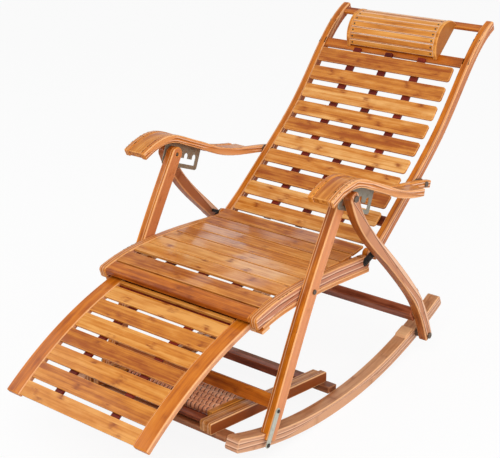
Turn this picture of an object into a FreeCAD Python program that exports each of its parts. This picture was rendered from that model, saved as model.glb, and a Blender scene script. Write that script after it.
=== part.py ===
import FreeCAD, Part
import math
import os

from FreeCAD import Vector

os.makedirs("parts", exist_ok=True)

# Folding rocking recliner, millimetres. +Z up, the sitter faces -Y, X is across the chair.
# Side views below are drawn as (y, z) from a zero under the seat; the finished pieces are
# moved so that the origin lies on the floor, under the middle of the chair's length and width.
# Each side frame is a set of bent bars in planes across X, from the middle outwards:
# seat and back rails, front legs, the notched plates' gap, rear legs.

MIDDLE_Y = 89.72         # the chair's middle in the side view's own y

# Planes across the chair
RAIL_IN = 241.0          # inner face of the seat and back side rails
RAIL_OUT = 265.0         # outer face of the same rails
LEG_IN = 267.0           # front leg
LEG_OUT = 294.0
REAR_IN = 298.0          # rear leg
REAR_OUT = 326.0
ROCK_IN = 244.0          # rocker
ROCK_OUT = 284.0
ARM_IN = 269.0           # arm
ARM_OUT = 345.0
ARM_PLY = 0.215 * (ARM_OUT - ARM_IN)
FIT = 0.05               # radial clearance of every pin in its hole
APART = 0.3              # least space between pieces that move past each other

# Pivots, as (y, z)
REAR_FOOT = (449.0, 80.0)      # rear leg on rocker
APEX = (20.0, 632.0)           # front leg and rear leg cross
SEAT_PIVOT = (-108.0, 413.0)   # seat rail on front leg
BACK_PIVOT = (207.0, 404.0)    # back rail on the hinge links
SEAT_HINGE = (177.0, 393.0)    # hinge links on the seat rail
ARM_PIVOT = (425.0, 549.0)     # arm links on the back rail
ARM_HINGE = (452.0, 543.5)     # arm on the arm links
FRONT_FOOT = (-285.0, 66.0)    # foot of the front leg, beside the rocker
PIN_R = 5.0
HEAD_R = 8.0
LINK_R = 13.0             # half the width of a hinge link
LINK_IN = 265.2
LINK_OUT = 266.8
ARM_LINK_OUT = 268.6

# Rockers
ROCKER_R = 1307.0
ROCKER_Y = 60.0
ROCKER_DEEP = 37.0
ROCKER_FRONT = -412.0
ROCKER_REAR = 598.0
CROSSBAR_FRONT_Y = -385.0
CROSSBAR_REAR_Y = 66.0
CROSSBAR_WIDE = 40.0
CROSSBAR_THICK = 15.0
CROSSBAR_REAR_THICK = 19.0
REAR_STRETCHER = (402.0, 158.0)
FRONT_STRETCHER = (-245.0, 153.0)

# Bars
LEG_DEEP = 40.0
REAR_DEEP = 34.0
BACK_DEEP = 30.0
SEAT_DEEP = 36.0
ARM_THICK = 22.0
SLAT = 8.0
BATTEN = 10.0
BATTEN_WIDE = 24.0

# Back panel
BACK_PITCH = 63.4
BACK_SLAT_WIDE = 47.0
BACK_SLAT_HALF = 231.0
BACK_FIRST = 23.0
BACK_BOW = 5.0            # the middle slats sit this much lower than an even spacing
BACK_BATTEN_X = 113.0

# Seat panel
SEAT_FRONT = -312.0
NOSING_WIDE = 42.0
SEAT_PITCH = 57.5
SEAT_GAP = 5.0
SEAT_WIDE_GAP = 17.0      # behind the first slat
SEAT_END_GAP = 0.3
SEAT_BATTEN_SHORT = 1.9029  # the battens stop this far before the last slat's rear edge
SEAT_BATTEN_X = 113.0

# Footrest: everything follows arcs about one centre below the seat
FOOT_CY = -77.5
FOOT_TOP = 402.7
FOOT_R = 1000.0
FOOT_CZ = FOOT_TOP - FOOT_R
FOOT_THICK = 16.0
FOOT_OUT = 236.0
FOOT_IN = 191.0
FOOT_REAR_Y = -235.0
FOOT_TIP_Y = -674.0
FOOT_PITCH = 58.2
FOOT_REAR_BAR = 24.0
FOOT_THIN_BAR = 11.0
FOOT_FIRST_GAP = -589.0   # along the top from above the arcs' centre to the front slat's rear gap
FOOT_TIE = 14.0
FOOT_WIDE_TIE = 43.0
FOOT_WIDE_TIE_Y = -325.0
FOOT_GAP = 11.0
FOOT_BATTEN_X = 94.0
GUIDE_THICK = 11.0

# Foot roller unit
ROLLERS = 5
ROLLER_FIRST_Y = -348.0
ROLLER_PITCH = 27.5
ROLLER_R = 12.0
ROLLER_HALF = 156.0
ROLLER_AXLE_R = 4.0
CHEEK = 16.0
CHEEK_HIGH = 34.0
UNIT_IN = ROLLER_HALF + 3.0 + CHEEK
UNIT_PLY = 20.0
UNIT_OUT = UNIT_IN + 2 * UNIT_PLY
UNIT_SLOPE = -7.97
UNIT_FRONT_Y = -427.0
UNIT_REAR_Y = 78.0
UNIT_DEEP = 32.0

# Headrest
HEAD_HALF = 158.0
HEAD_CENTRE = 734.0
HEAD_RADIUS = 73.0
HEAD_PROUD = 58.0
HEAD_STRIPS = 9

# Notched plates under the arms
PLATE_IN = 294.8
PLATE_OUT = 297.2
PLATE_TILT = -21.4
NOTCH_PITCH = 36.5
NOTCH_WIDE = 16.0
NOTCHES = 4


def xbox(x0, x1, outline):
    """Prism between two planes across X from a closed outline of (y, z) points."""
    points = [Vector(x0, y, z) for y, z in outline]
    wire = Part.makePolygon(points + [points[0]])
    return Part.Face(wire).extrude(Vector(x1 - x0, 0, 0))


def curve(points):
    """Smooth curve through (y, z) points."""
    spline = Part.BSplineCurve()
    spline.interpolate([Vector(0, y, z) for y, z in points])
    return spline


def station(spline, s):
    """Point, tangent and upward normal at a length s along a curve."""
    u = spline.parameterAtDistance(s, spline.FirstParameter)
    p = spline.value(u)
    t = spline.tangent(u)[0]
    return p, t, Vector(0, -t.z, t.y)


def offset_points(spline, s0, s1, lift, count):
    out = []
    for i in range(count):
        p, t, n = station(spline, s0 + (s1 - s0) * i / (count - 1))
        out.append((p.y + n.y * lift, p.z + n.z * lift))
    return out


def band(spline, s0, s1, low, high, x0, x1, count=13):
    """Bent bar that follows a curve, between two offsets from it, with square ends."""
    under = offset_points(spline, s0, s1, low, count)
    over = offset_points(spline, s0, s1, high, count)
    shift = Vector(x0, 0, 0)

    def edge(points):
        line = Part.BSplineCurve()
        line.interpolate([Vector(0, y, z) + shift for y, z in points])
        return line.toShape()

    def straight(a, b):
        return Part.makeLine(Vector(x0, a[0], a[1]), Vector(x0, b[0], b[1]))

    wire = Part.Wire([edge(under), straight(under[-1], over[-1]),
                      edge(list(reversed(over))), straight(over[0], under[0])])
    return Part.Face(wire).extrude(Vector(x1 - x0, 0, 0))


def arc_band(cy, cz, r0, r1, y0, y1, x0, x1):
    """Bar bent to a circle about (cy, cz), from y0 to y1 on its outer radius.
    Positive radii put the bar above the centre, negative ones below it."""
    side = 1.0 if r0 > 0 else -1.0
    outer = max(abs(r0), abs(r1))
    a0 = math.asin((y0 - cy) / outer)
    a1 = math.asin((y1 - cy) / outer)
    am = (a0 + a1) / 2

    def at(r, a):
        return Vector(x0, cy + abs(r) * math.sin(a), cz + side * abs(r) * math.cos(a))

    wire = Part.Wire([Part.Arc(at(r0, a0), at(r0, am), at(r0, a1)).toShape(),
                      Part.makeLine(at(r0, a1), at(r1, a1)),
                      Part.Arc(at(r1, a1), at(r1, am), at(r1, a0)).toShape(),
                      Part.makeLine(at(r1, a0), at(r0, a0))])
    return Part.Face(wire).extrude(Vector(x1 - x0, 0, 0))


def plank(centre, angle, long, thick, x0, x1):
    """Flat board across X. Its long side in the side view lies at an angle to +Y."""
    c = math.cos(math.radians(angle))
    s = math.sin(math.radians(angle))
    corners = []
    for a, b in ((-1, -1), (1, -1), (1, 1), (-1, 1)):
        u = a * long / 2
        v = b * thick / 2
        corners.append((centre[0] + u * c - v * s, centre[1] + u * s + v * c))
    return xbox(x0, x1, corners)


def rod(at, r, x0, x1):
    """Round bar along X at (y, z)."""
    return Part.makeCylinder(r, x1 - x0, Vector(x0, at[0], at[1]), Vector(1, 0, 0))


def both(shape):
    """The right-hand shape and its mirror image as one."""
    return Part.makeCompound([shape, shape.mirror(Vector(0, 0, 0), Vector(1, 0, 0))])


def left(shape):
    return shape.mirror(Vector(0, 0, 0), Vector(1, 0, 0))


def soften(shape, size, pick):
    """Round the edges that pick accepts."""
    edges = [e for e in shape.Edges if pick(e)]
    if edges:
        return shape.makeFillet(size, edges)
    return shape


def slat_corner(edge):
    """Short edges through a slat's thickness at its two ends."""
    box = edge.BoundBox
    return box.XLength < 0.01 and abs(edge.Length - SLAT) < 0.6


def save(name, shape):
    moved = shape.copy()
    moved.translate(Vector(0, -MIDDLE_Y, 0))
    moved.exportStep("parts/" + name + ".step")


def pair(name, shape):
    save(name + "_right", shape)
    save(name + "_left", left(shape))


def rocker_top(y):
    return ROCKER_R - math.sqrt((ROCKER_R - ROCKER_DEEP) ** 2 - (y - ROCKER_Y) ** 2)


# Rockers. Each is a bent bar, rounded at both ends, tied by two crossbars.
rocker = arc_band(ROCKER_Y, ROCKER_R, -ROCKER_R, -(ROCKER_R - ROCKER_DEEP),
                  ROCKER_FRONT, ROCKER_REAR, ROCK_IN, ROCK_OUT)
rocker = soften(rocker, 9.0, lambda e: abs(e.BoundBox.XLength - (ROCK_OUT - ROCK_IN)) < 0.1)
rocker = rocker.cut(rod(REAR_FOOT, PIN_R + FIT, ROCK_IN - 1, ROCK_OUT + 1))
pair("rocker", rocker)
cleat_y = (386.0, 430.0)
cleat = xbox(ROCK_IN + 2, ROCK_OUT - 2, [(cleat_y[0], rocker_top(cleat_y[0]) + 0.05),
                                         (cleat_y[1], rocker_top(cleat_y[1]) + 0.05),
                                         (cleat_y[1] - 2, rocker_top(cleat_y[1]) + 6),
                                         (cleat_y[0] + 6, rocker_top(cleat_y[0]) + 8)])
save("rocker_cleats", both(cleat))

# Foot roller unit. Two double rails lie on the rockers' crossbars and carry the roller tray.
slope = math.radians(UNIT_SLOPE)


def unit_z(y, lift):
    """Height of the unit's slanted frame at y, lift above its underside."""
    return 116.5 + (y + 400.0) * math.tan(slope) + lift


def unit_bar(y0, y1, low, high, x0, x1):
    return xbox(x0, x1, [(y0, unit_z(y0, low)), (y1, unit_z(y1, low)),
                         (y1, unit_z(y1, high)), (y0, unit_z(y0, high))])


for name, y, thick in (("front", CROSSBAR_FRONT_Y, CROSSBAR_THICK),
                       ("rear", CROSSBAR_REAR_Y, CROSSBAR_REAR_THICK)):
    centre = (y + thick / 2 * math.sin(slope), unit_z(y, 0) - thick / 2 * math.cos(slope))
    save("rocker_crossbar_" + name, plank(centre, UNIT_SLOPE, CROSSBAR_WIDE, thick,
                                          -ROCK_IN, ROCK_IN))
middle = UNIT_IN + UNIT_PLY
outer_ply = unit_bar(UNIT_FRONT_Y, UNIT_REAR_Y, 0, UNIT_DEEP, middle, UNIT_OUT)
outer_ply = soften(outer_ply, 7.0, lambda e: abs(e.BoundBox.XLength - (UNIT_OUT - middle)) < 0.1)
inner_ply = unit_bar(UNIT_FRONT_Y + 6, UNIT_REAR_Y - 8, 0, UNIT_DEEP - 2, UNIT_IN, middle)
inner_ply = soften(inner_ply, 6.0, lambda e: abs(e.BoundBox.XLength - (middle - UNIT_IN)) < 0.1)
pair("roller_unit_rail", Part.makeCompound([outer_ply, inner_ply]))
inner_x = UNIT_IN
tray_bars = []
TRAY_FRONT = ROLLER_FIRST_Y - 2 * ROLLER_R
TRAY_REAR = ROLLER_FIRST_Y + ROLLER_PITCH * (ROLLERS - 1) + 2 * ROLLER_R
for y0, y1, top in ((TRAY_FRONT - 20.0, TRAY_FRONT, 16), (TRAY_REAR, TRAY_REAR + 18.0, 26),
                    (-12.0, 12.0, 28)):
    tray_bars.append(unit_bar(y0, y1, 4, top, -inner_x, inner_x))
shelf_x = ROLLER_HALF + 2.5
shelf = unit_bar(TRAY_FRONT - 1.0, ROLLER_FIRST_Y - ROLLER_R - 1.5, 4, 16, -shelf_x, shelf_x)
tray_bars[0] = tray_bars[0].fuse(shelf).removeSplitter()
save("roller_unit_bars", Part.makeCompound(tray_bars))
roller_at = []
for i in range(ROLLERS):
    y = ROLLER_FIRST_Y + ROLLER_PITCH * i
    roller_at.append((y, unit_z(y, 20.0)))
cheek = unit_bar(TRAY_FRONT + 0.3, TRAY_REAR - 0.3, 4, CHEEK_HIGH, inner_x - CHEEK, inner_x)
for at in roller_at:
    cheek = cheek.cut(rod(at, ROLLER_AXLE_R + FIT, ROLLER_HALF, inner_x + 1))
save("roller_unit_cheeks", both(cheek))
RIDGES = 22
for i, at in enumerate(roller_at):
    profile = [(-inner_x + 1.0, 0.0), (-inner_x + 1.0, ROLLER_AXLE_R),
               (-ROLLER_HALF, ROLLER_AXLE_R)]
    step = 2 * ROLLER_HALF / RIDGES
    for k in range(RIDGES):
        x = -ROLLER_HALF + k * step
        profile.append((x, ROLLER_R - 4.0))
        profile.append((x + step * 0.28, ROLLER_R))
        profile.append((x + step * 0.72, ROLLER_R))
    profile.append((ROLLER_HALF, ROLLER_R - 4.0))
    profile.append((ROLLER_HALF, ROLLER_AXLE_R))
    profile.append((inner_x - 1.0, ROLLER_AXLE_R))
    profile.append((inner_x - 1.0, 0.0))
    points = [Vector(x, at[0], at[1] + r) for x, r in profile]
    face = Part.Face(Part.makePolygon(points + [points[0]]))
    roller = face.revolve(Vector(0, at[0], at[1]), Vector(1, 0, 0), 360)
    save("foot_roller_%d" % (i + 1), roller)

# Rear legs. Bent in an S, outermost, pivoted near the rear ends of the rockers.
rear_line = curve([(20, 632), (62, 553), (120, 486), (188, 421), (262, 348), (330, 276),
                   (383, 211), (420, 148), (448, 86), (458, 62)])
rear_length = rear_line.length() - 8.0
rear_leg = band(rear_line, 0, rear_length, -REAR_DEEP / 2, REAR_DEEP / 2, REAR_IN, REAR_OUT, 25)
rear_leg = rear_leg.fuse(rod(APEX, REAR_DEEP / 2 + 1, REAR_IN, REAR_OUT)).removeSplitter()
rear_leg = rear_leg.cut(rod(APEX, PIN_R + FIT, REAR_IN - 1, REAR_OUT + 1))
rear_leg = rear_leg.cut(rod(REAR_FOOT, PIN_R + FIT, REAR_IN - 1, REAR_OUT + 1))
pair("rear_leg", rear_leg)
save("rear_leg_stretcher", soften(plank(REAR_STRETCHER, -55.0, 1.18 * REAR_DEEP, 0.76 * REAR_DEEP,
                                        -REAR_IN, REAR_IN),
                                  4.0, lambda e: e.BoundBox.XLength > 1.5 * REAR_IN))
foot_bolt = rod(REAR_FOOT, PIN_R, ROCK_IN + 2, REAR_OUT + 0.2)
foot_bolt = foot_bolt.fuse(rod(REAR_FOOT, 12.0, ROCK_OUT + APART, REAR_IN - APART))
foot_bolt = foot_bolt.fuse(rod(REAR_FOOT, 9.0, REAR_OUT + 0.2, REAR_OUT + 5))
apex_bolt = rod(APEX, PIN_R, REAR_IN - 0.4, REAR_OUT)
apex_bolt = apex_bolt.fuse(rod(APEX, 9.0, REAR_OUT, REAR_OUT + 4))
save("rear_leg_bolts", Part.makeCompound([both(foot_bolt), both(apex_bolt)]))

# Front legs. Slightly bowed, with a foot that stands on the rocker and a thin tongue beside it.
leg_line = curve([FRONT_FOOT, (-250, 134), (-188, 262), (-110, 413), (-45, 526), APEX])
leg_length = leg_line.length()
front_leg = band(leg_line, 0, leg_length, -LEG_DEEP / 2, LEG_DEEP / 2, LEG_IN, LEG_OUT, 17)
front_leg = front_leg.fuse(rod(APEX, LEG_DEEP / 2 + 1, LEG_IN, LEG_OUT)).removeSplitter()
rocker_room = arc_band(ROCKER_Y, ROCKER_R, -(ROCKER_R + 60), -(ROCKER_R - ROCKER_DEEP - APART),
                       ROCKER_FRONT, ROCKER_REAR, LEG_IN - 5, ROCK_OUT + APART)
front_leg = front_leg.cut(rocker_room)
front_leg = front_leg.cut(rod(APEX, PIN_R, LEG_IN - 1, LEG_OUT + 1))
front_leg = front_leg.cut(rod(SEAT_PIVOT, PIN_R, LEG_IN - 1, LEG_OUT + 1))
pair("front_leg", front_leg)
apex_pin = rod(APEX, PIN_R, LEG_IN, LEG_OUT + 0.4)
save("front_leg_stretcher", plank(FRONT_STRETCHER, 62.0, 0.9 * LEG_DEEP, 0.4 * LEG_DEEP, -LEG_IN, LEG_IN))
seat_bolt = rod(SEAT_PIVOT, PIN_R, RAIL_IN + 1, LEG_OUT)
seat_bolt = seat_bolt.fuse(rod(SEAT_PIVOT, 6.5, LEG_OUT, LEG_OUT + 3))
save("front_leg_bolts", Part.makeCompound([both(apex_pin), both(seat_bolt)]))
strap_low = (-300.0, 62.0)
strap_high = (-259.0, 141.0)
strap_dir = math.degrees(math.atan2(strap_high[1] - strap_low[1], strap_high[0] - strap_low[0]))
strap_mid = ((strap_low[0] + strap_high[0]) / 2, (strap_low[1] + strap_high[1]) / 2)
strap_long = math.hypot(strap_high[0] - strap_low[0], strap_high[1] - strap_low[1])
strap = plank(strap_mid, strap_dir, strap_long, 17.0, LEG_OUT, LEG_OUT + 2.5)
strap = strap.fuse(rod(strap_low, 8.5, LEG_OUT, LEG_OUT + 2.5))
strap = strap.fuse(rod(strap_high, 8.5, LEG_OUT, LEG_OUT + 2.5)).removeSplitter()
screws = rod(strap_low, 5.5, LEG_OUT + 2.5, LEG_OUT + 5).fuse(
    rod(strap_high, 5.0, LEG_OUT + 2.5, LEG_OUT + 5))
save("latch_straps", Part.makeCompound([both(strap), both(screws)]))

# Seat. Two bent rails with the slats let in flush between them.
seat_line = curve([(SEAT_FRONT, 403), (-228, 421), (-131, 427), (-37, 425), (60, 418),
                   (150, 409), BACK_PIVOT])
seat_length = seat_line.length()
# The slatted panel follows the rails, and rises behind to meet the back.
panel_line = curve([(SEAT_FRONT, 403), (-228, 421), (-131, 427), (-37, 425), (60, 418),
                    (112, 416.5), (160, 419), (207, 426)])
panel_length = panel_line.length()


def seat_s(y):
    """Length along the slatted panel's top line at which it reaches y."""
    lo = 0.0
    hi = panel_length
    for _ in range(40):
        mid = (lo + hi) / 2
        if station(panel_line, mid)[0].y < y:
            lo = mid
        else:
            hi = mid
    return (lo + hi) / 2


EAR_R = 14.0
seat_rail = band(seat_line, 0, seat_length - 2, -SEAT_DEEP, 0, RAIL_IN, RAIL_OUT, 17)
seat_rail = soften(seat_rail, 11.0, lambda e: e.BoundBox.YMax < SEAT_FRONT + 12
                   and abs(e.BoundBox.XLength - (RAIL_OUT - RAIL_IN)) < 0.1)
seat_rail = seat_rail.cut(rod(BACK_PIVOT, EAR_R + 0.6, RAIL_IN - 1, RAIL_OUT + 1))
swing = math.hypot(BACK_PIVOT[0] - SEAT_HINGE[0], BACK_PIVOT[1] - SEAT_HINGE[1])
path = rod(SEAT_HINGE, swing + EAR_R + 1, RAIL_IN - 1, RAIL_OUT + 1).cut(
    rod(SEAT_HINGE, swing - EAR_R - 0.6, RAIL_IN - 2, RAIL_OUT + 2))
sector = [SEAT_HINGE]
for a in (-8.0, 60.0, 130.0):
    sector.append((SEAT_HINGE[0] + 2.5 * swing * math.cos(math.radians(a)),
                   SEAT_HINGE[1] + 2.5 * swing * math.sin(math.radians(a))))
seat_rail = seat_rail.cut(path.common(xbox(RAIL_IN - 1, RAIL_OUT + 1, sector)))
tail = SEAT_HINGE[0] + SEAT_DEEP / 2 + 6
seat_rail = seat_rail.cut(xbox(RAIL_IN - 1, RAIL_OUT + 1, [
    (tail - 8, SEAT_HINGE[1] - SEAT_DEEP), (tail + 60, SEAT_HINGE[1] - SEAT_DEEP),
    (tail + 60, BACK_PIVOT[1] + 2), (tail + 8, BACK_PIVOT[1] + 2)]))
seat_rail = seat_rail.cut(rod(SEAT_HINGE, PIN_R + FIT, RAIL_IN - 1, RAIL_OUT + 1))
seat_rail = seat_rail.cut(rod(SEAT_PIVOT, PIN_R + FIT, RAIL_IN - 1, RAIL_OUT + 1))
pair("seat_rail", seat_rail)


def seat_board(y0, y1, thick, x0, x1, drop=0.0):
    return band(panel_line, seat_s(y0), seat_s(y1), -thick - drop, -drop, x0, x1, 5)


nosing = seat_board(SEAT_FRONT + 0.5, SEAT_FRONT + NOSING_WIDE, 17.0, -RAIL_IN, RAIL_IN)
nosing = soften(nosing, 5.0, lambda e: e.BoundBox.XLength > 400 and e.BoundBox.YMax < SEAT_FRONT + 5)
save("seat_nosing", nosing)
slats = []
seat_room = BACK_PIVOT[0] - SEAT_FRONT - NOSING_WIDE + SEAT_GAP - SEAT_WIDE_GAP
seat_slats = int(seat_room / SEAT_PITCH)
slat_end = RAIL_IN - SEAT_END_GAP
for i in range(seat_slats):
    y = SEAT_FRONT + NOSING_WIDE + SEAT_GAP + SEAT_PITCH * i
    if i > 0:
        y += SEAT_WIDE_GAP - SEAT_GAP
    slat_rear = y + SEAT_PITCH - SEAT_GAP
    slats.append(seat_board(y, slat_rear, SLAT, -slat_end, slat_end))
save("seat_slats", Part.makeCompound(slats))
battens = []
for x in (-SEAT_BATTEN_X, 0.0, SEAT_BATTEN_X):
    battens.append(band(panel_line, seat_s(SEAT_FRONT + NOSING_WIDE),
                        seat_s(slat_rear) - SEAT_BATTEN_SHORT, -SLAT - BATTEN, 0.3 - SLAT,
                        x - BATTEN_WIDE / 2, x + BATTEN_WIDE / 2))
for slat in slats:
    battens = [batten.cut(slat) for batten in battens]
battens.append(band(seat_line, seat_length - 48, seat_length - 18, -SEAT_DEEP, -SEAT_DEEP / 2,
                    -RAIL_IN, RAIL_IN, 5))
save("seat_battens", Part.makeCompound(battens))
# Each rail has a lower ply under it. Inside stands an angle whose ledge carries the footrest.
ledge_low = FOOT_R - FOOT_THICK - 0.5 - GUIDE_THICK
ledge_top = FOOT_R - FOOT_THICK - 0.5
ledge = arc_band(FOOT_CY, FOOT_CZ, ledge_low, ledge_top, -285.0, 120.0, FOOT_OUT - 10, RAIL_IN)
ledge_end = arc_band(FOOT_CY, FOOT_CZ, ledge_low, ledge_top, -285.0, -256.0, FOOT_OUT - 10, RAIL_OUT)
wall = arc_band(FOOT_CY, FOOT_CZ, ledge_low, FOOT_R + 5, -285.0, 120.0, FOOT_OUT + 0.6, RAIL_IN)
lower_ply = band(seat_line, seat_s(-290.0), seat_length - 6, -SEAT_DEEP - 13, -SEAT_DEEP,
                 RAIL_IN, RAIL_OUT, 33)
guide = lower_ply.fuse(ledge).fuse(ledge_end).fuse(wall)
under_rail = band(seat_line, 0, seat_length - 2, -SEAT_DEEP, 60, RAIL_IN, RAIL_OUT + 5, 17)
guide = guide.cut(under_rail).removeSplitter()
guide = guide.cut(rod(SEAT_PIVOT, PIN_R + 1, RAIL_IN - 1, RAIL_OUT + 1))
pair("footrest_guide", guide)


def link(a, b, x0, x1):
    """Flat plate with round ends across the middles a and b."""
    angle = math.degrees(math.atan2(b[1] - a[1], b[0] - a[0]))
    long = math.hypot(b[0] - a[0], b[1] - a[1])
    shape = plank(((a[0] + b[0]) / 2, (a[1] + b[1]) / 2), angle, long, 2 * LINK_R, x0, x1)
    for end in (a, b):
        shape = shape.fuse(rod(end, LINK_R, x0, x1))
    return shape.removeSplitter()


hinge = link(SEAT_HINGE, BACK_PIVOT, LINK_IN, LINK_OUT)
hinge = hinge.fuse(rod(SEAT_HINGE, PIN_R, RAIL_IN + 1, LINK_OUT))
hinge = hinge.fuse(rod(SEAT_HINGE, HEAD_R, LINK_OUT, LINK_OUT + 3))
hinge = hinge.fuse(rod(BACK_PIVOT, PIN_R, RAIL_IN + 1, REAR_IN - 0.4))
save("back_hinge_links", both(hinge))

# Back. Two rails bent in an S carry three crossbars, three battens and the slats.
back_line = curve([(217, 391), (300, 453), (387, 520), (472, 586), (562, 664), (641, 750),
                   (705, 825), (766, 885), (848, 934)])
back_length = back_line.length()
HALF = BACK_DEEP / 2
RAIL_BACK = 5.0
back_rail = band(back_line, 4, back_length, -HALF - RAIL_BACK, HALF - RAIL_BACK,
                 RAIL_IN, RAIL_OUT, 25)
back_rail = soften(back_rail, 6.0, lambda e: e.BoundBox.YMin > 825
                   and abs(e.BoundBox.XLength - (RAIL_OUT - RAIL_IN)) < 0.1)
neck = []
for at, up in ((4.0, -HALF), (90.0, -HALF), (90.0, HALF - RAIL_BACK), (4.0, HALF - 1.0)):
    p, t, n = station(back_line, at)
    neck.append((p.y + n.y * up, p.z + n.z * up))
back_rail = back_rail.fuse(xbox(RAIL_IN, RAIL_OUT, neck))
back_rail = back_rail.fuse(rod(BACK_PIVOT, EAR_R, RAIL_IN, RAIL_OUT)).removeSplitter()
back_rail = back_rail.cut(rod(BACK_PIVOT, PIN_R + FIT, RAIL_IN - 1, RAIL_OUT + 1))
back_rail = back_rail.cut(rod(ARM_PIVOT, PIN_R + FIT, RAIL_IN - 1, RAIL_OUT + 1))
pair("back_rail", back_rail)


def back_plank(s, wide, low, high, x0, x1):
    p, t, n = station(back_line, s)
    mid = (low + high) / 2
    return plank((p.y + n.y * mid, p.z + n.z * mid), math.degrees(math.atan2(t.z, t.y)),
                 wide, high - low, x0, x1)


CROSS_TOP = 5.0
crossbars = {"top": (805.0, 24.0), "mid": (670.0, 30.0), "low": (118.0, 30.0)}
for name, (at, wide) in crossbars.items():
    save("back_" + name + "_crossbar",
         back_plank(at, wide, CROSS_TOP - 11.0, CROSS_TOP, -RAIL_IN, RAIL_IN))
SLAT_LOW = CROSS_TOP + BATTEN
slats = []
back_slats = int((crossbars["mid"][0] - BACK_FIRST) / BACK_PITCH)
for i in range(back_slats):
    last = back_slats - 1
    bow = 4.0 * BACK_BOW * i * (last - i) / last ** 2
    at = BACK_FIRST + BACK_PITCH * i - bow + BACK_SLAT_WIDE / 2
    slat = back_plank(at, BACK_SLAT_WIDE, SLAT_LOW, SLAT_LOW + SLAT,
                      -BACK_SLAT_HALF, BACK_SLAT_HALF)
    slats.append(soften(slat, 8.0, slat_corner))
    save("back_slat_%02d" % (i + 1), slats[i])
battens = []
for x in (-BACK_BATTEN_X, 0.0, BACK_BATTEN_X):
    batten = band(back_line, BACK_FIRST + 3.0, crossbars["mid"][0] - 11.0, CROSS_TOP, SLAT_LOW + 0.3,
                  x - BATTEN_WIDE / 2, x + BATTEN_WIDE / 2, 25)
    for slat in slats:
        batten = batten.cut(slat)
    for at, wide in crossbars.values():
        batten = batten.cut(back_plank(at, wide, CROSS_TOP - 11.0, CROSS_TOP, -RAIL_IN, RAIL_IN))
    battens.append(batten)
save("back_battens", Part.makeCompound(battens))

# Headrest. Two half-round end caps with strips nailed over them.
head_p, head_t, head_n = station(back_line, HEAD_CENTRE)
head_dir = math.degrees(math.atan2(head_t.z, head_t.y))
head_drop = HEAD_RADIUS - HEAD_PROUD
head_o = (head_p.y - head_n.y * head_drop, head_p.z - head_n.z * head_drop)
STRIP = 7.0
CAP = 12.0
strip_r = HEAD_RADIUS - 2.0
cap = rod(head_o, HEAD_RADIUS, HEAD_HALF - CAP, HEAD_HALF)
keep = plank((head_p.y + head_n.y * (48.0 - 4), head_p.z + head_n.z * (48.0 - 4)), head_dir,
             2 * HEAD_RADIUS, 96.0, HEAD_HALF - 20, HEAD_HALF + 20)
cap = cap.common(keep)
for at, wide in (crossbars["top"], crossbars["mid"]):
    cap = cap.cut(back_plank(at, wide, CROSS_TOP - 11.0, CROSS_TOP, -RAIL_IN, RAIL_IN))
save("headrest_caps", both(cap))
fan = 2 * math.degrees(math.acos((head_drop + CROSS_TOP + 1.0) / HEAD_RADIUS)) - 4.0
step = fan / HEAD_STRIPS
strips = []
for i in range(HEAD_STRIPS):
    a = math.radians(head_dir + 90 - fan / 2 + step * (i + 0.5))
    r = strip_r - STRIP / 2
    wide = 2 * (strip_r - STRIP) * math.tan(math.radians(step / 2)) - 0.1
    strip = plank((head_o[0] + r * math.cos(a), head_o[1] + r * math.sin(a)),
                  math.degrees(a) - 90, wide, STRIP, CAP - HEAD_HALF, HEAD_HALF - CAP)
    strips.append(strip)
save("headrest_strips", Part.makeCompound(strips))

# Arms. A wide board in front between two narrow plies; the inner ply reaches the back rail.
arm_line = curve([(-110, 656), (-62, 675), (-12, 682), (32, 673), (72, 656), (137, 628),
                  (205, 597), (318, 567), ARM_PIVOT, (480, 536)])
arm_length = arm_line.length()
H = ARM_THICK / 2


def arm_s(y):
    lo = 0.0
    hi = arm_length
    for _ in range(40):
        mid = (lo + hi) / 2
        if station(arm_line, mid)[0].y < y:
            lo = mid
        else:
            hi = mid
    return (lo + hi) / 2


inner = band(arm_line, 0, arm_length, -H, H, ARM_IN, ARM_IN + ARM_PLY, 31)
inner = inner.cut(rod(ARM_HINGE, PIN_R + FIT, ARM_IN - 1, ARM_IN + ARM_PLY + 1))
OUTER_END = 340.0
BOARD_END = 355.0
outer = band(arm_line, 0, arm_s(OUTER_END), -H, H, ARM_OUT - ARM_PLY, ARM_OUT, 25)
board = band(arm_line, 2, arm_s(BOARD_END), -H + 2, H - 1.5, ARM_IN + ARM_PLY, ARM_OUT - ARM_PLY, 25)
pair("arm_board", board)
pair("arm_plies", Part.makeCompound([inner, outer]))
arm_link = link(ARM_PIVOT, ARM_HINGE, LINK_IN, ARM_LINK_OUT)
arm_link = arm_link.fuse(rod(ARM_PIVOT, PIN_R, RAIL_IN + 1, ARM_LINK_OUT))
arm_link = arm_link.fuse(rod(ARM_HINGE, PIN_R, ARM_LINK_OUT, ARM_IN + ARM_PLY + 1))
arm_link = arm_link.fuse(rod(ARM_HINGE, HEAD_R, ARM_IN + ARM_PLY + APART, ARM_IN + ARM_PLY + 4))
save("arm_links", both(arm_link))
tilt = math.radians(PLATE_TILT)


def plate_point(u, v):
    return (APEX[0] + u * math.cos(tilt) - v * math.sin(tilt),
            APEX[1] + u * math.sin(tilt) + v * math.cos(tilt))


def plate_block(u0, u1, v0, v1):
    return xbox(PLATE_IN, PLATE_OUT, [plate_point(u0, v0), plate_point(u1, v0),
                                      plate_point(u1, v1), plate_point(u0, v1)])


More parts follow.
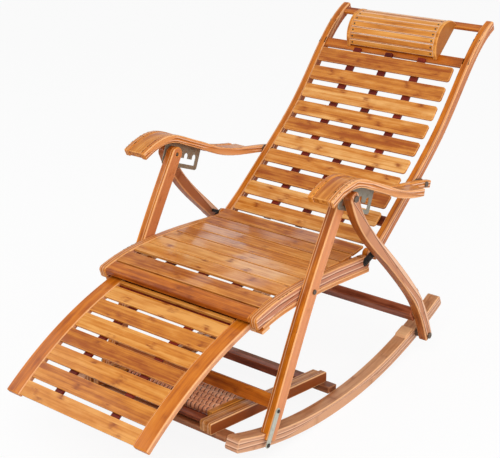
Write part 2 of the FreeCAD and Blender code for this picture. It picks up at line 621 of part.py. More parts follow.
plate = plate_block(-26, 132, -36, 60)
plate = soften(plate, 9.0, lambda e: e.BoundBox.XLength > 2 and
               (e.BoundBox.ZMax < plate_point(-26, -36)[1] + 1))
plate = plate.cut(plate_block(-10, NOTCH_PITCH * (NOTCHES - 1) + NOTCH_WIDE / 2, -24, -8))
for i in range(NOTCHES):
    u = NOTCH_PITCH * i
    plate = plate.cut(plate_block(u - NOTCH_WIDE / 2, u + NOTCH_WIDE / 2, -9, 0))
    plate = plate.cut(rod(plate_point(u, 0), NOTCH_WIDE / 2, PLATE_IN - 1, PLATE_OUT + 1))
plate = plate.cut(band(arm_line, 0, arm_s(BOARD_END), -H + 2, 90, PLATE_IN - 1, PLATE_OUT + 1, 25))
plate = plate.cut(inner)
save("notch_plates", both(plate))

# Footrest. Two flat bent rails with slats between them on three battens.
foot_rail = arc_band(FOOT_CY, FOOT_CZ, FOOT_R - FOOT_THICK, FOOT_R,
                     FOOT_TIP_Y, FOOT_REAR_Y, FOOT_IN, FOOT_OUT)
pair("footrest_rail", foot_rail)


def foot_y(a):
    """Y of a point on the footrest's top at an arc length from above the centre."""
    return FOOT_CY + FOOT_R * math.sin(a / FOOT_R)


rear_bar = FOOT_R * math.asin((FOOT_REAR_Y - FOOT_REAR_BAR - FOOT_CY) / FOOT_R)
foot_slats = int((rear_bar - FOOT_THIN_BAR - FOOT_GAP / 2 - FOOT_FIRST_GAP) / FOOT_PITCH) + 2
slats = []
for i in range(foot_slats):
    a0 = FOOT_FIRST_GAP + FOOT_PITCH * (i - 1) + FOOT_GAP / 2
    a1 = a0 + FOOT_PITCH - FOOT_GAP
    if i == 0:
        a0 = FOOT_R * math.asin((FOOT_TIP_Y - FOOT_CY) / FOOT_R) + 3.0
    slats.append(arc_band(FOOT_CY, FOOT_CZ, FOOT_R - 7.5, FOOT_R - 0.5, foot_y(a0), foot_y(a1),
                          -FOOT_IN, FOOT_IN))
slats[-1] = arc_band(FOOT_CY, FOOT_CZ, FOOT_R - 7.5, FOOT_R + 2.5, foot_y(a0),
                     foot_y(a0 + FOOT_THIN_BAR),
                     -FOOT_IN, FOOT_IN)
slats.append(arc_band(FOOT_CY, FOOT_CZ, FOOT_R - 7.5, FOOT_R - 0.5, FOOT_REAR_Y - FOOT_REAR_BAR,
                      FOOT_REAR_Y, -FOOT_IN, FOOT_IN))
save("footrest_slats", Part.makeCompound(slats))
battens = []
for x in (-FOOT_BATTEN_X, FOOT_BATTEN_X):
    battens.append(arc_band(FOOT_CY, FOOT_CZ, FOOT_R - FOOT_THICK, FOOT_R - 7.5, FOOT_TIP_Y + 19.0,
                            FOOT_REAR_Y, x - BATTEN_WIDE / 2, x + BATTEN_WIDE / 2))
inner_end = FOOT_BATTEN_X - BATTEN_WIDE / 2 - 0.1
outer_start = FOOT_BATTEN_X + BATTEN_WIDE / 2 + 0.1
for y, wide in ((FOOT_TIP_Y + 72.0, FOOT_TIE), (FOOT_WIDE_TIE_Y, FOOT_WIDE_TIE),
                (FOOT_REAR_Y - 16.0, FOOT_TIE)):
    for x0, x1 in ((-FOOT_IN, -outer_start), (-inner_end, inner_end), (outer_start, FOOT_IN)):
        battens.append(arc_band(FOOT_CY, FOOT_CZ, FOOT_R - FOOT_THICK + 1, FOOT_R - 7.5,
                                y, y + wide, x0, x1))
save("footrest_battens", Part.makeCompound(battens))
print("written", len([f for f in os.listdir("parts") if f.endswith(".step")]))
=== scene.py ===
import math

import bmesh
import bpy
import numpy as np
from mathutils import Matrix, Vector


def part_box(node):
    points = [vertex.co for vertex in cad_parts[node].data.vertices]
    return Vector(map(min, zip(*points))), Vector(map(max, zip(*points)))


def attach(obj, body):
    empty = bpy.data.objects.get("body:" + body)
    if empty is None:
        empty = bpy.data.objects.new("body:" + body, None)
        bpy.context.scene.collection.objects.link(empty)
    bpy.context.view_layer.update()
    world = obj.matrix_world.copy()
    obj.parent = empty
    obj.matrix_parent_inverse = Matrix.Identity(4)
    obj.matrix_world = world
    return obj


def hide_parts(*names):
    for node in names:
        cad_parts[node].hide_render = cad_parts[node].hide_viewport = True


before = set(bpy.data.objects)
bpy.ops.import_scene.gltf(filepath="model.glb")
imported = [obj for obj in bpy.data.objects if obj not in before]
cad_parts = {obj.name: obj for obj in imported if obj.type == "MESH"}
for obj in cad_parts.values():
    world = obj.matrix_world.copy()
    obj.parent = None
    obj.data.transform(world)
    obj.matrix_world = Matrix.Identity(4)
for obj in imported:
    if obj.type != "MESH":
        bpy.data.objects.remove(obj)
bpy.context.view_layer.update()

# The view: the chair stands with its front to the left, seen from a little above, as in a catalogue
# picture taken with a long lens.
camera = bpy.data.objects.new("camera", bpy.data.cameras.new("camera"))
bpy.context.collection.objects.link(camera)
camera.location = (1.7797, -2.37312, 1.6177)
camera.rotation_euler = (math.radians(90 - 21.476), 0, math.radians(37.849))
camera.data.lens = 82.8
camera.data.sensor_width = 36.0
camera.data.sensor_fit = "HORIZONTAL"
bpy.context.scene.camera = camera
bpy.context.scene.view_settings.view_transform = "Standard"


# Rockers: two bars glued up from three bent bamboo layers, with a fine groove along each glue
# line, cut square and eased at both ends. Their undersides are what the chair rolls on.
class Shade:
    """A shader value. Sums on it add Math nodes to its material or world."""

    def __init__(self, owner, socket=None):
        self.owner = owner
        self.socket = socket

    def node(self, kind, put=(), out=0, stops=None, **settings):
        made = self.owner.node_tree.nodes.new("ShaderNode" + kind)
        for name, value in settings.items():
            setattr(made, name, value)
        if stops:
            ramp = made.color_ramp.elements
            while len(ramp) < len(stops):
                ramp.new(0.5)
            for element, (place, colour) in zip(ramp, stops):
                element.position = place
                element.color = colour
        for key, value in dict(put).items():
            if isinstance(value, Shade):
                self.owner.node_tree.links.new(value.socket, made.inputs[key])
            else:
                made.inputs[key].default_value = value
        return Shade(self.owner, made.outputs[out])

    def math(self, operation, *values):
        return self.node("Math", enumerate(values), operation=operation)

    def __add__(self, other):
        return self.math("ADD", self, other)

    def __sub__(self, other):
        return self.math("SUBTRACT", self, other)

    def __rsub__(self, other):
        return self.math("SUBTRACT", other, self)

    def __mul__(self, other):
        return self.math("MULTIPLY", self, other)

    def __truediv__(self, other):
        return self.math("DIVIDE", self, other)

    __radd__ = __add__
    __rmul__ = __mul__

    def part(self):
        return self.math("FRACT", self)

    def whole(self):
        return self.math("FLOOR", self)

    def size(self):
        return self.math("ABSOLUTE", self)

    def ramp(self, low, high):
        return self.node("MapRange", {"Value": self, "From Min": low, "From Max": high},
                         interpolation_type="SMOOTHSTEP")

    def near(self, full, none):
        return 1.0 - self.size().ramp(full, none)

    def axes(self):
        return [self.node("SeparateXYZ", {0: self}, out=i) for i in range(3)]

    def blend(self, first, second):
        return self.node("Mix", {"Factor": self, 6: first, 7: second}, out=2, data_type="RGBA")

    def noise(self, u, v, w, detail=3.0, rough=0.5):
        place = self.node("CombineXYZ", {0: u, 1: v, 2: w})
        return self.node("TexNoise", {"Vector": place, "Scale": 1.0, "Detail": detail,
                                      "Roughness": rough})


def toned(colour, by):
    """The colour made lighter or darker."""
    return [min(1.0, c * by) for c in colour[:3]] + [1.0]


def varnished(name, pale, mid, deep, side=None, corner=None, grooves=(), knots=1.0, coat=0.22,
              lamella=0.0165, spread=1.0, bevel_highlight=0.35, gloss=0.0, ends=False, seams=(),
              bevel_highlight_tone=None, inner=0.0):
    """Varnished bamboo. Its strips, fibres and knuckle marks run along each piece's own grain.

    pale, mid and deep are the bamboo's tones, and side is the tone of its outer faces.
    corner is where a bent bar's four corners lie, along which a pale streak is painted as a
    highlight: the middle and half of its depth, then the middle and half of its width. grooves
    and seams are the glue lines on the outer faces and on the others, each drawn dark with a
    painted highlight along one lip. bevel_highlight and bevel_highlight_tone are the strength and
    tone of the highlight painted on eased edges, and inner how dark the painted shade on the
    inner faces is.
    """
    material = bpy.data.materials.new(name)
    material.use_nodes = True
    base = Shade(material)
    shader = material.node_tree.nodes["Principled BSDF"]
    along, across, over = base.node("Attribute", out=1, attribute_name="grain").axes()
    tone = base.node("Attribute", out=2, attribute_name="tone")
    lamella_depth = 0.0215
    cell = base.node("CombineXYZ", {0: (across / lamella + tone * 31.0).whole(),
                                    1: (over / lamella_depth).whole(), 2: (tone * 17.0).whole()})
    strip = base.node("TexWhiteNoise", {"Vector": cell}, out=0)
    fibre = base.noise(along * 12.0, across * 1100.0, over * 1100.0, 2.0)
    streak = base.noise(along * 3.0 + tone * 9.0, across * 120.0, over * 120.0, 4.0, 0.6)
    cloud = base.noise(along * 14.0, across * 45.0 + tone * 23.0, over * 45.0, 3.0, 0.55)
    level = (streak - 0.5) * 1.5 + (cloud - 0.5) * 1.15 + (fibre - 0.5) * 0.35
    level = level + (strip - 0.5) * 0.34 + (tone - 0.5) * 0.5 * spread + 0.5
    colour = level.node("ValToRGB", {0: level}, stops=((0.0, deep), (0.5, mid), (1.0, pale)))
    outward = base.node("NewGeometry", out=1).axes()
    if ends:
        facing = 1.0 - outward[2].size().ramp(0.6, 0.8)
    else:
        facing = outward[0].size().ramp(0.6, 0.9)
    if side:
        colour = (facing * (0.62 + streak * 0.5)).blend(colour, side)
    # Painted shade: the inner faces are darkened towards the deep tone.
    if inner:
        inner_shade_mask = (outward[0] * over * -1.0).ramp(0.1, 0.2)
        colour = (inner_shade_mask * inner).blend(colour, deep)
    knuckle_pitch = 0.27
    wander = (base.noise(along * 4.0, across * 90.0, over * 90.0, 2.0) - 0.5) * 0.055
    place = (along / knuckle_pitch + strip * 5.0 + tone * 3.0).part() - 0.5
    place = place + wander
    patchy = base.noise(along * 40.0 + 3.0, across * 90.0, over * 90.0, 2.0)
    halo = place.near(0.006, 0.080) * patchy.ramp(0.3, 0.62) * knots
    core = place.near(0.004, 0.028) * patchy.ramp(0.42, 0.70) * knots
    colour = (halo * 0.85).blend(colour, deep)
    colour = (core * 0.55).blend(colour, toned(deep, 0.55))
    height = fibre * 0.3 + streak * 0.3
    # Painted highlight: a pale line runs along one lip of each dark glue line.
    lip, lip_highlight = 0.0030, (0.93, 0.60, 0.40, 1)
    for depth in grooves:
        line = (across - depth).near(0.0006, 0.0018) * facing
        height = height - line * 3.0
        colour = (line * 0.75).blend(colour, toned(deep, 0.5))
        line = (across - depth - lip).near(0.0009, 0.0023) * facing
        colour = (line * 0.65).blend(colour, lip_highlight)
    lip, lip_highlight = 0.0026, (0.95, 0.62, 0.36, 1)
    for depth in seams:
        line = (over.size() - depth).near(0.0006, 0.0017) * (1.0 - facing)
        colour = (line * 0.6).blend(colour, deep)
        line = (over.size() - depth - lip).near(0.0008, 0.0020) * (1.0 - facing)
        colour = (line * 0.36).blend(colour, lip_highlight)
    # Painted highlight: the faces made by easing the edges are tinted towards a pale tone.
    eased = base.node("Attribute", out=2, attribute_name="eased")
    colour = (eased * bevel_highlight).blend(colour, bevel_highlight_tone or toned(pale, 1.2))
    if corner:
        centre, half, plane, wide = corner
        # Painted highlight: a pale streak along the bar's four corners, where light would catch them.
        highlight_in, highlight_out, highlight_tone = 0.0042, 0.0012, (0.95, 0.56, 0.28, 1)
        corner_highlight = (across - centre).size().ramp(half - highlight_in, half - highlight_out)
        corner_highlight = corner_highlight * (over.size() - plane).size().ramp(wide - highlight_in, wide - highlight_out)
        colour = (corner_highlight * 0.6).blend(colour, highlight_tone)
    bump = base.node("Bump", {"Height": height, "Strength": 0.2, "Distance": 0.001})
    links = material.node_tree.links
    links.new(colour.socket, shader.inputs["Base Color"])
    links.new((0.30 + fibre * 0.16).socket, shader.inputs["Roughness"])
    links.new(bump.socket, shader.inputs["Normal"])
    shader.inputs["Specular IOR Level"].default_value = 0.12
    shader.inputs["Coat Weight"].default_value = coat
    if gloss:
        wet = base.noise(along * 7.0 + 2.0, across * 5.0 + tone * 4.0, over * 5.0, 2.0, 0.4)
        links.new((wet.ramp(0.44, 0.62) * gloss + coat).socket, shader.inputs["Coat Weight"])
    shader.inputs["Coat Roughness"].default_value = 0.12
    return material


def placed(points):
    """(y, z) points of the side view, from millimetres ahead of the seat to the chair's middle."""
    chair_middle = 0.08972
    return np.array(points, float) / 1000.0 - np.array([[chair_middle, 0.0]])


def line_through(points):
    """Closely spaced points on the smooth curve through (y, z) points given in millimetres."""
    given = placed(points)
    ends = np.vstack([2 * given[0] - given[1], given, 2 * given[-1] - given[-2]])
    out = []
    for i in range(1, len(ends) - 2):
        a, b, c, d = ends[i - 1:i + 3]
        for t in np.linspace(0, 1, 9)[:-1]:
            out.append(0.5 * (2 * b + (c - a) * t + (2 * a - 5 * b + 4 * c - d) * t ** 2
                              + (3 * b - a - 3 * c + d) * t ** 3))
    out.append(given[-1])
    return np.array(out)


def mark(mesh, name, values):
    """Keeps one number or vector for each vertex of the mesh, for its finish to read."""
    values = np.asarray(values, np.float32)
    kind, key = ("FLOAT_VECTOR", "vector") if values.ndim == 2 else ("FLOAT", "value")
    mesh.attributes.new(name, kind, "POINT").data.foreach_set(key, values.ravel())


def dress(node, body, finish, ease=0.002, line=None, steps=3):
    """The piece as it is made: the solid with its edges eased, and its grain laid along it."""
    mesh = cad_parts[node].data.copy()
    shape = bmesh.new()
    shape.from_mesh(mesh)
    bmesh.ops.remove_doubles(shape, verts=shape.verts, dist=2e-5)
    bmesh.ops.dissolve_limit(shape, angle_limit=0.008, verts=shape.verts, edges=shape.edges)
    eased = shape.faces.layers.float.new("eased")
    sharp_from = 0.6
    sharp = [e for e in shape.edges
             if len(e.link_faces) == 2 and e.calc_face_angle(0) > sharp_from]
    made = bmesh.ops.bevel(shape, geom=sharp, offset=ease, segments=steps, profile=0.5,
                           affect="EDGES", clamp_overlap=False)
    for face in made["faces"]:
        face[eased] = 1.0
    shape.to_mesh(mesh)
    seen = np.full(len(mesh.vertices), -1)
    shape.verts.ensure_lookup_table()
    count = 0
    for start in shape.verts:
        if seen[start.index] >= 0:
            continue
        todo = [start]
        seen[start.index] = count
        while todo:
            for e in todo.pop().link_edges:
                for v in e.verts:
                    if seen[v.index] < 0:
                        seen[v.index] = count
                        todo.append(v)
        count += 1
    shape.free()
    at = np.array([v.co for v in mesh.vertices])
    seed = sum(ord(c) * (i + 3) for i, c in enumerate(node)) % 97
    golden, golden_rest = 0.618034, 0.381966
    tone = np.modf(seen * golden + seed * golden_rest)[0]
    if line is None:
        start, slant = 1.3, 0.71
        grain = np.stack([at[:, 0] + start, at[:, 1] * slant + at[:, 2] * slant,
                          at[:, 2] * slant - at[:, 1] * slant], 1)
    else:
        best = np.full(len(at), 1e9)
        grain = np.zeros((len(at), 3))
        run = 0.0
        for a, b in zip(line[:-1], line[1:]):
            step = b - a
            long = float(np.hypot(*step))
            unit = step / long
            rel = at[:, 1:3] - a
            t = np.clip(rel @ unit, 0, long)
            off = rel @ np.array([-unit[1], unit[0]])
            far = np.hypot(*(rel - t[:, None] * unit).T)
            hit = far < best
            best[hit] = far[hit]
            grain[hit] = np.stack([run + t, off, at[:, 0]], 1)[hit]
            run += long
    mark(mesh, "grain", grain)
    mark(mesh, "tone", tone)
    mesh.materials.clear()
    mesh.materials.append(finish)
    mesh.shade_smooth()
    mesh.set_sharp_from_angle(angle=0.75)
    piece = bpy.data.objects.new(node + "_made", mesh)
    bpy.context.collection.objects.link(piece)
    even = piece.modifiers.new("even", "WEIGHTED_NORMAL")
    even.keep_sharp = True
    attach(piece, body)
    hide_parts(node)
    return piece


rocker_bend, rocker_y, rocker_z = 1288.5, 60, 1307
arc = np.radians(np.linspace(-24.0, 26.0, 60))
rocker_line = placed(np.stack([rocker_y + rocker_bend * np.sin(arc),
                               rocker_z - rocker_bend * np.cos(arc)], 1))
rocker_bamboo = varnished("rocker_bamboo", (0.66, 0.36, 0.185, 1), (0.54, 0.26, 0.12, 1),
                          (0.36, 0.13, 0.05, 1), side=(0.62, 0.31, 0.18, 1),
                          corner=(0.0, 0.0185, 0.264, 0.020), grooves=(-0.0085, 0.0045), knots=0.6,
                          ends=True)
for side in ("left", "right"):
    dress("rocker_" + side, "rocker_base", rocker_bamboo, 0.003, rocker_line)

# Crossbars and cleats of the rockers: straight bars glued between the rockers under the roller
# unit, and a small block on each rocker in front of the rear leg's foot.
crossbar_bamboo = varnished("crossbar_bamboo", (0.38, 0.155, 0.065, 1), (0.23, 0.075, 0.028, 1),
                            (0.11, 0.03, 0.012, 1), knots=0.5)
for name in ("rocker_crossbar_front", "rocker_crossbar_rear"):
    dress(name, "rocker_base", crossbar_bamboo, 0.003)
dress("rocker_cleats", "rocker_base", rocker_bamboo, 0.0015)

# Roller unit: two doubled rails carry a tray with plain cheeks. The crossbars between the rails
# are stained dark brown.
unit_slope = math.tan(math.radians(-7.97))
unit_middle = 116.5 + 16
unit_line = line_through([(y, unit_middle + (y + 400) * unit_slope) for y in (-440, -200, 90)])
rail_bamboo = varnished("rail_bamboo", (0.62, 0.29, 0.09, 1), (0.44, 0.16, 0.035, 1),
                        (0.18, 0.04, 0.008, 1), side=(0.22, 0.045, 0.008, 1), knots=0.4,
                        corner=(0.0, 0.016, 0.195, 0.020), seams=(0.184, 0.2045))
brown_bamboo = varnished("brown_bamboo", (0.44, 0.135, 0.060, 1), (0.25, 0.060, 0.024, 1),
                         (0.085, 0.016, 0.007, 1), knots=0.2, coat=0.12)
cheek_bamboo = varnished("cheek_bamboo", (0.70, 0.33, 0.07, 1), (0.55, 0.21, 0.03, 1),
                         (0.24, 0.07, 0.010, 1), knots=0.4)
for side in ("left", "right"):
    dress("roller_unit_rail_" + side, "rocker_base", rail_bamboo, 0.0025, unit_line)
dress("roller_unit_bars", "rocker_base", brown_bamboo, 0.002)
dress("roller_unit_cheeks", "rocker_base", cheek_bamboo, 0.002, unit_line)

# Foot rollers: turned wooden rods with a row of rounded beads, on plain axle ends held in the
# cheeks. They are left reddish, with painted shade darkening the grooves between the beads.
roller_wood = varnished("roller_wood", (0.95, 0.62, 0.40, 1), (0.85, 0.42, 0.23, 1),
                        (0.50, 0.16, 0.07, 1), knots=0.0, coat=0.5)
base = Shade(roller_wood)
shader = roller_wood.node_tree.nodes["Principled BSDF"]
wood = Shade(roller_wood, shader.inputs["Base Color"].links[0].from_socket)
crest = base.node("Attribute", out=2, attribute_name="crest")
# Painted shade: the grooves between the beads are darkened almost to black.
groove_shade = (1.0 - crest.ramp(0.15, 0.7)).blend(wood, (0.055, 0.014, 0.008, 1))
roller_wood.node_tree.links.new(groove_shade.socket, shader.inputs["Base Color"])
for i in range(5):
    node = "foot_roller_%d" % (i + 1)
    low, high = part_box(node)
    axle_y, axle_z = (low[1] + high[1]) / 2, (low[2] + high[2]) / 2
    half, radius, beads, around = 0.156, 0.012, 24, 20
    groove, axle_end, axle_r = 0.0045, 0.174, 0.004
    outline = [(-axle_end, 0.0), (-axle_end, axle_r), (-half, axle_r)]
    for k in range(beads):
        for t in (0.0, 0.12, 0.3, 0.5, 0.7, 0.88):
            x = -half + (k + t) * 2 * half / beads
            outline.append((x, radius - groove * (1 - math.sin(math.pi * t)) ** 2))
    outline += [(half, radius - groove), (half, axle_r), (axle_end, axle_r), (axle_end, 0.0)]
    verts, faces = [], []
    for x, r in outline:
        for a in range(around):
            turn = 2 * math.pi * a / around
            verts.append((x, axle_y + r * math.cos(turn), axle_z + r * math.sin(turn)))
    for j in range(len(outline) - 1):
        for a in range(around):
            b = (a + 1) % around
            faces.append((j * around + a, j * around + b, (j + 1) * around + b, (j + 1) * around + a))
    mesh = bpy.data.meshes.new(node + "_turned")
    mesh.from_pydata(verts, [], faces)
    shape = bmesh.new()
    shape.from_mesh(mesh)
    bmesh.ops.remove_doubles(shape, verts=shape.verts, dist=1e-6)
    bmesh.ops.recalc_face_normals(shape, faces=shape.faces)
    shape.to_mesh(mesh)
    shape.free()
    at = np.array([v.co for v in mesh.vertices])
    mark(mesh, "grain", at * np.array([1.0, 0.6, 0.6]))
    mark(mesh, "tone", np.full(len(at), 0.2 + 0.13 * i))
    out = np.hypot(at[:, 1] - axle_y, at[:, 2] - axle_z)
    mark(mesh, "crest", np.clip((out - radius + groove) / groove, 0, 1))
    mesh.materials.append(roller_wood)
    mesh.shade_smooth()
    roller = bpy.data.objects.new(node + "_turned", mesh)
    bpy.context.collection.objects.link(roller)
    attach(roller, "roller_%d" % (i + 1))
    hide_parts(node)

# Rear legs: S-shaped bent bars outside the rockers, with two grooves along the outer face, tied
# by a dark stretcher. Steel bolts hold them at the foot and at the top.
rear_line = line_through([(20, 632), (62, 553), (120, 486), (188, 421), (262, 348), (330, 276),
                          (383, 211), (420, 148), (448, 86), (458, 62)])
leg_bamboo = varnished("leg_bamboo", (0.58, 0.21, 0.05, 1), (0.42, 0.115, 0.018, 1),
                       (0.21, 0.045, 0.008, 1), side=(0.56, 0.235, 0.115, 1),
                       corner=(0.0, 0.017, 0.312, 0.014), grooves=(0.0088, -0.0105), knots=0.4,
                       inner=0.6)
for side in ("left", "right"):
    dress("rear_leg_" + side, "rear_legs", leg_bamboo, 0.0045, rear_line, 4)
dress("rear_leg_stretcher", "rear_legs", brown_bamboo, 0.003)


def metal(name, colour, dirt, rough, metallic, scale, heads=None):
    """Plain sheet or rod steel with rolled streaks and slight tarnish."""
    material = bpy.data.materials.new(name)
    material.use_nodes = True
    base = Shade(material)
    shader = material.node_tree.nodes["Principled BSDF"]
    x, y, z = base.node("TexCoord", out=3).axes()
    streak = base.noise(x * 40.0, y * scale, z * scale * 0.3, 3.0)
    spots = base.noise(x * 90.0, y * 90.0, z * 90.0, 4.0).ramp(0.45, 0.75)
    tint = (streak * 0.5 + spots * 0.5).blend(colour, dirt)
    if heads:
        tint = x.size().ramp(heads, heads + 0.0002).blend(tint, (0.03, 0.025, 0.022, 1))
    links = material.node_tree.links
    links.new(tint.socket, shader.inputs["Base Color"])
    links.new((rough + spots * 0.2).socket, shader.inputs["Roughness"])
    bump = base.node("Bump", {"Height": streak, "Strength": 0.1, "Distance": 0.0005})
    links.new(bump.socket, shader.inputs["Normal"])
    shader.inputs["Metallic"].default_value = metallic
    return material


bolt_steel = metal("bolt_steel", (0.19, 0.15, 0.12, 1), (0.07, 0.045, 0.03, 1), 0.4, 0.8, 300.0)
dress("rear_leg_bolts", "rear_legs", bolt_steel, 0.0008)

# Front legs: slightly bowed bars whose feet stand on the rockers and lap over their outer faces,
# tied by a thin board. Bolts carry the seat, and steel straps latch the feet to the rockers.
leg_line = line_through([(-285, 66), (-250, 134), (-188, 262), (-110, 413), (-45, 526), (20, 632)])
front_bamboo = varnished("front_bamboo", (0.76, 0.29, 0.025, 1), (0.65, 0.195, 0.009, 1),
                         (0.33, 0.072, 0.005, 1), side=(0.72, 0.28, 0.12, 1),
                         corner=(0.0, 0.020, 0.2805, 0.0135), knots=0.35, seams=(0.273,),
                         inner=0.3)
for side in ("left", "right"):
    dress("front_leg_" + side, "front_legs", front_bamboo, 0.0035, leg_line)
board_bamboo = varnished("board_bamboo", (0.66, 0.235, 0.03, 1), (0.50, 0.13, 0.009, 1),
                         (0.24, 0.045, 0.004, 1), knots=0.6)
dress("front_leg_stretcher", "front_legs", board_bamboo, 0.002)
dress("front_leg_bolts", "front_legs", bolt_steel, 0.0008)
strap_steel = metal("strap_steel", (0.56, 0.58, 0.50, 1), (0.36, 0.37, 0.30, 1), 0.42, 0.35, 200.0,
                    heads=0.2967)
dress("latch_straps", "front_legs", strap_steel, 0.0006)

# Seat: two bent rails with a groove along their outer faces, a thick rounded nosing and eight
# slats let in flush, held from below by stained battens. Thin guides under the rails hold the
# footrest.
seat_points = [(-312, 403), (-228, 421), (-131, 427), (-37, 425), (60, 418), (150, 409), (207, 404)]
seat_line = line_through([(y, z - 18) for y, z in seat_points])
seat_bamboo = varnished("seat_bamboo", (0.66, 0.26, 0.045, 1), (0.53, 0.155, 0.014, 1),
                        (0.28, 0.06, 0.007, 1), side=(0.50, 0.20, 0.12, 1),
                        corner=(0.0, 0.018, 0.253, 0.012), grooves=(0.006, -0.009), knots=0.3,
                        seams=(0.248, 0.2555))
guide_bamboo = varnished("guide_bamboo", (0.60, 0.22, 0.04, 1), (0.48, 0.13, 0.012, 1),
                         (0.25, 0.05, 0.006, 1), side=(0.62, 0.24, 0.075, 1),
                         corner=(-0.0245, 0.0065, 0.253, 0.012), knots=0.2)
slat_bamboo = varnished("slat_bamboo", (0.80, 0.42, 0.135, 1), (0.60, 0.215, 0.030, 1),
                        (0.34, 0.075, 0.006, 1), knots=1.0, spread=1.2)
panel_bamboo = varnished("panel_bamboo", (0.78, 0.39, 0.12, 1), (0.57, 0.20, 0.030, 1),
                         (0.32, 0.075, 0.008, 1), knots=1.0, spread=1.3, coat=0.15, gloss=0.85)
footslat_bamboo = varnished("footslat_bamboo", (0.76, 0.35, 0.08, 1), (0.59, 0.20, 0.020, 1),
                            (0.34, 0.075, 0.005, 1), knots=1.0, spread=1.3)
dark_bamboo = varnished("dark_bamboo", (0.21, 0.020, 0.009, 1), (0.125, 0.010, 0.005, 1),
                        (0.05, 0.004, 0.002, 1), knots=0.2, coat=0.0)
for side in ("left", "right"):
    dress("seat_rail_" + side, "seat", seat_bamboo, 0.004, seat_line, 4)
    dress("footrest_guide_" + side, "seat", guide_bamboo, 0.0012, seat_line)
dress("seat_nosing", "seat", board_bamboo, 0.003)
dress("seat_slats", "seat", panel_bamboo, 0.0016)
dress("seat_battens", "seat", dark_bamboo, 0.001)

# Hinge links: a short blackened steel plate outside each rail, with a pin in the seat and one in
# the back, so that the back can lie flat and fold shut.
link_steel = metal("link_steel", (0.018, 0.014, 0.012, 1), (0.008, 0.007, 0.006, 1), 0.5, 0.3, 200.0)
dress("back_hinge_links", "hinge_links", link_steel, 0.0005)

# Back: two S-shaped bamboo rails joined by crossbars. Ten slats with rounded corners lie on
# three stained battens.
back_line = line_through([(217, 391), (300, 453), (387, 520), (472, 586), (562, 664), (641, 750),
                          (705, 825), (766, 885), (848, 934)])
back_bamboo = varnished("back_bamboo", (0.68, 0.235, 0.02, 1), (0.57, 0.155, 0.008, 1),
                        (0.30, 0.06, 0.004, 1), side=(0.52, 0.19, 0.08, 1),
                        corner=(-0.005, 0.015, 0.253, 0.012), grooves=(-0.004,), knots=0.35,
                        coat=0.12, seams=(0.2575,), inner=0.75)
for side in ("left", "right"):
    dress("back_rail_" + side, "back", back_bamboo, 0.004, back_line, 4)
for name in ("top", "mid"):
    dress("back_%s_crossbar" % name, "back", board_bamboo, 0.002)
dress("back_low_crossbar", "back", brown_bamboo, 0.002)
dress("back_battens", "back", dark_bamboo, 0.001)
for i in range(1, 11):
    dress("back_slat_%02d" % i, "back", slat_bamboo, 0.0018)

# Headrest: two rounded bamboo end caps with narrow strips laid over them side by side. Each
# strip is held at both ends by a small dark nail with a low head, driven into the cap below.
# The strips' eased edges carry a strong painted highlight, which shows as pale lines between the
# strips.
strip_bamboo = varnished("strip_bamboo", (0.78, 0.37, 0.085, 1), (0.66, 0.245, 0.033, 1),
                         (0.38, 0.10, 0.010, 1), knots=0.3, lamella=0.03, bevel_highlight=0.8,
                         bevel_highlight_tone=(0.95, 0.66, 0.44, 1))
cap_bamboo = varnished("cap_bamboo", (0.80, 0.38, 0.10, 1), (0.62, 0.22, 0.030, 1),
                       (0.34, 0.09, 0.010, 1), side=(0.38, 0.12, 0.022, 1), knots=0.2, coat=0.06)
dress("headrest_strips", "back", strip_bamboo, 0.0014)
dress("headrest_caps", "back", cap_bamboo, 0.003)
corners = np.array([v.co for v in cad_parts["headrest_strips"].data.vertices])
corners = np.unique(np.round(corners[corners[:, 0] > 0.1][:, 1:3], 5), axis=0)
for outer_only in (False, True):
    if outer_only:
        corners = corners[away > away.mean()]
    fit = np.linalg.lstsq(np.column_stack([2 * corners, np.ones(len(corners))]),
                          (corners ** 2).sum(1), rcond=None)[0]
    away = np.hypot(*(corners - fit[:2]).T)
turn = np.unwrap(np.sort(np.arctan2(*(corners - fit[:2]).T)))
middles = (turn[0::2] + turn[1::2]) / 2
face_r = away.max() * math.cos((turn[1] - turn[0]) / 2)
verts, faces = [], []
nail_x, nail_r, nail_sides = 0.1375, 0.0028, 10
for x in (-nail_x, nail_x):
    for angle in middles:
        up = np.array([0.0, math.sin(angle), math.cos(angle)])
        flat = np.array([0.0, math.cos(angle), -math.sin(angle)])
        middle = np.array([x, fit[0], fit[1]]) + up * face_r
        first = len(verts)
        for r, lift in ((nail_r, -0.0006), (nail_r, 0.0002), (nail_r - 0.0012, 0.0005)):
            for k in range(nail_sides):
                a = 2 * math.pi * k / nail_sides
                side_step = np.array([1.0, 0.0, 0.0]) * math.cos(a) + flat * math.sin(a)
                verts.append(tuple(middle + side_step * r + up * lift))
        for ring in (first, first + nail_sides):
            for k in range(nail_sides):
                n = (k + 1) % nail_sides
                faces.append((ring + k, ring + n, ring + nail_sides + n, ring + nail_sides + k))
        top = first + 2 * nail_sides
        faces.append(tuple(range(top + nail_sides - 1, top - 1, -1)))
        faces.append(tuple(range(first, first + nail_sides)))
mesh = bpy.data.meshes.new("headrest_nails")
mesh.from_pydata(verts, [], faces)
shape = bmesh.new()
shape.from_mesh(mesh)
bmesh.ops.recalc_face_normals(shape, faces=shape.faces)
shape.to_mesh(mesh)
shape.free()
mesh.materials.append(link_steel)
mesh.shade_smooth()
mesh.set_sharp_from_angle(angle=0.9)
nails = bpy.data.objects.new("headrest_nails", mesh)
bpy.context.collection.objects.link(nails)
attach(nails, "back")

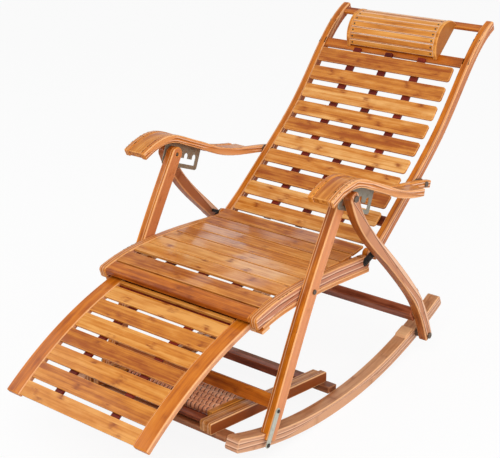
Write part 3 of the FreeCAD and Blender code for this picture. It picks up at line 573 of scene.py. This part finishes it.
# Arms: a wide bent board between two bent plies, of which the inner one runs on to the back
# rail, where a two-pin steel link carries it. A steel plate with four notches hangs below each
# board.
arm_line = line_through([(-110, 656), (-62, 675), (-12, 682), (32, 673), (72, 656), (137, 628),
                         (205, 597), (318, 567), (425, 549), (480, 536)])
ply_bamboo = varnished("ply_bamboo", (0.70, 0.28, 0.045, 1), (0.60, 0.19, 0.020, 1),
                       (0.32, 0.07, 0.008, 1), side=(0.66, 0.21, 0.035, 1), grooves=(0.0025, -0.0065),
                       corner=(0.0, 0.011, 0.307, 0.038), knots=0.3, seams=(0.3315, 0.3385))
for side in ("left", "right"):
    dress("arm_board_" + side, "arms", slat_bamboo, 0.002, arm_line)
    dress("arm_plies_" + side, "arms", ply_bamboo, 0.003, arm_line)
plate_steel = metal("plate_steel", (0.34, 0.31, 0.25, 1), (0.20, 0.18, 0.13, 1), 0.4, 0.7, 250.0)
dress("notch_plates", "arms", plate_steel, 0.0005)
dress("arm_links", "arm_links", bolt_steel, 0.0005)

# Footrest: two flat bent rails with seven slats between them, on two stained battens, and a thin
# pale bar at its upper end. It slides in under the seat.
foot_bend, foot_y, foot_z = 992, -77.5, -597.3
arc = np.radians(np.linspace(-38.0, -8.0, 60))
foot_line = placed(np.stack([foot_y + foot_bend * np.sin(arc), foot_z + foot_bend * np.cos(arc)], 1))
foot_bamboo = varnished("foot_bamboo", (0.68, 0.24, 0.025, 1), (0.58, 0.16, 0.009, 1),
                        (0.34, 0.07, 0.005, 1), side=(0.66, 0.29, 0.14, 1),
                        corner=(0.0, 0.008, 0.2135, 0.0225), knots=0.4)
for side in ("left", "right"):
    dress("footrest_rail_" + side, "footrest", foot_bamboo, 0.003, foot_line)
dress("footrest_slats", "footrest", footslat_bamboo, 0.0014)
dress("footrest_battens", "footrest", dark_bamboo, 0.001)

# The room: a white floor that keeps a faint shadow of the chair, and even soft light from three
# large lamps, as in a studio.
floor = bpy.data.objects.new("floor", bpy.data.meshes.new("floor"))
floor.data.from_pydata([(-9, -9, 0), (9, -9, 0), (9, 9, 0), (-9, 9, 0)], [], [(0, 1, 2, 3)])
bpy.context.collection.objects.link(floor)
white = bpy.data.materials.new("floor_white")
white.use_nodes = True
base = Shade(white)
plain = white.node_tree.nodes["Principled BSDF"]
plain.inputs["Base Color"].default_value = (0.86, 0.86, 0.86, 1)
plain.inputs["Roughness"].default_value = 0.9
seen = base.node("LightPath", out="Is Camera Ray") * 0.9
glow = base.node("Emission", {"Strength": 1.0})
mixed = base.node("MixShader", {0: seen, 1: Shade(white, plain.outputs[0]), 2: glow})
white.node_tree.links.new(mixed.socket, white.node_tree.nodes["Material Output"].inputs["Surface"])
floor.data.materials.append(white)
world = bpy.data.worlds.new("studio")
world.use_nodes = True
bpy.context.scene.world = world
base = Shade(world)
air = world.node_tree.nodes["Background"]
air.inputs["Color"].default_value = (1, 1, 1, 1)
path = {way: base.node("LightPath", out="Is %s Ray" % way) for way in ("Camera", "Glossy")}
seen = base.math("MAXIMUM", path["Camera"], path["Glossy"])
level = base.node("MapRange", {"Value": seen, "To Min": 0.55, "To Max": 1.0})
world.node_tree.links.new(level.socket, air.inputs["Strength"])
lamps = (("key", (1.6, -2.6, 3.2), 2.2, 75), ("fill", (3.4, 0.6, 1.9), 2.0, 45),
         ("left", (-3.0, -1.6, 2.6), 2.0, 30))
for name, place, size, power in lamps:
    lamp = bpy.data.objects.new(name, bpy.data.lights.new(name, "AREA"))
    aim = Vector((0, 0, 0.4)) - Vector(place)
    lamp.data.energy = power
    lamp.data.size = size
    lamp.location = place
    lamp.rotation_euler = aim.to_track_quat("-Z", "Y").to_euler()
    bpy.context.collection.objects.link(lamp)
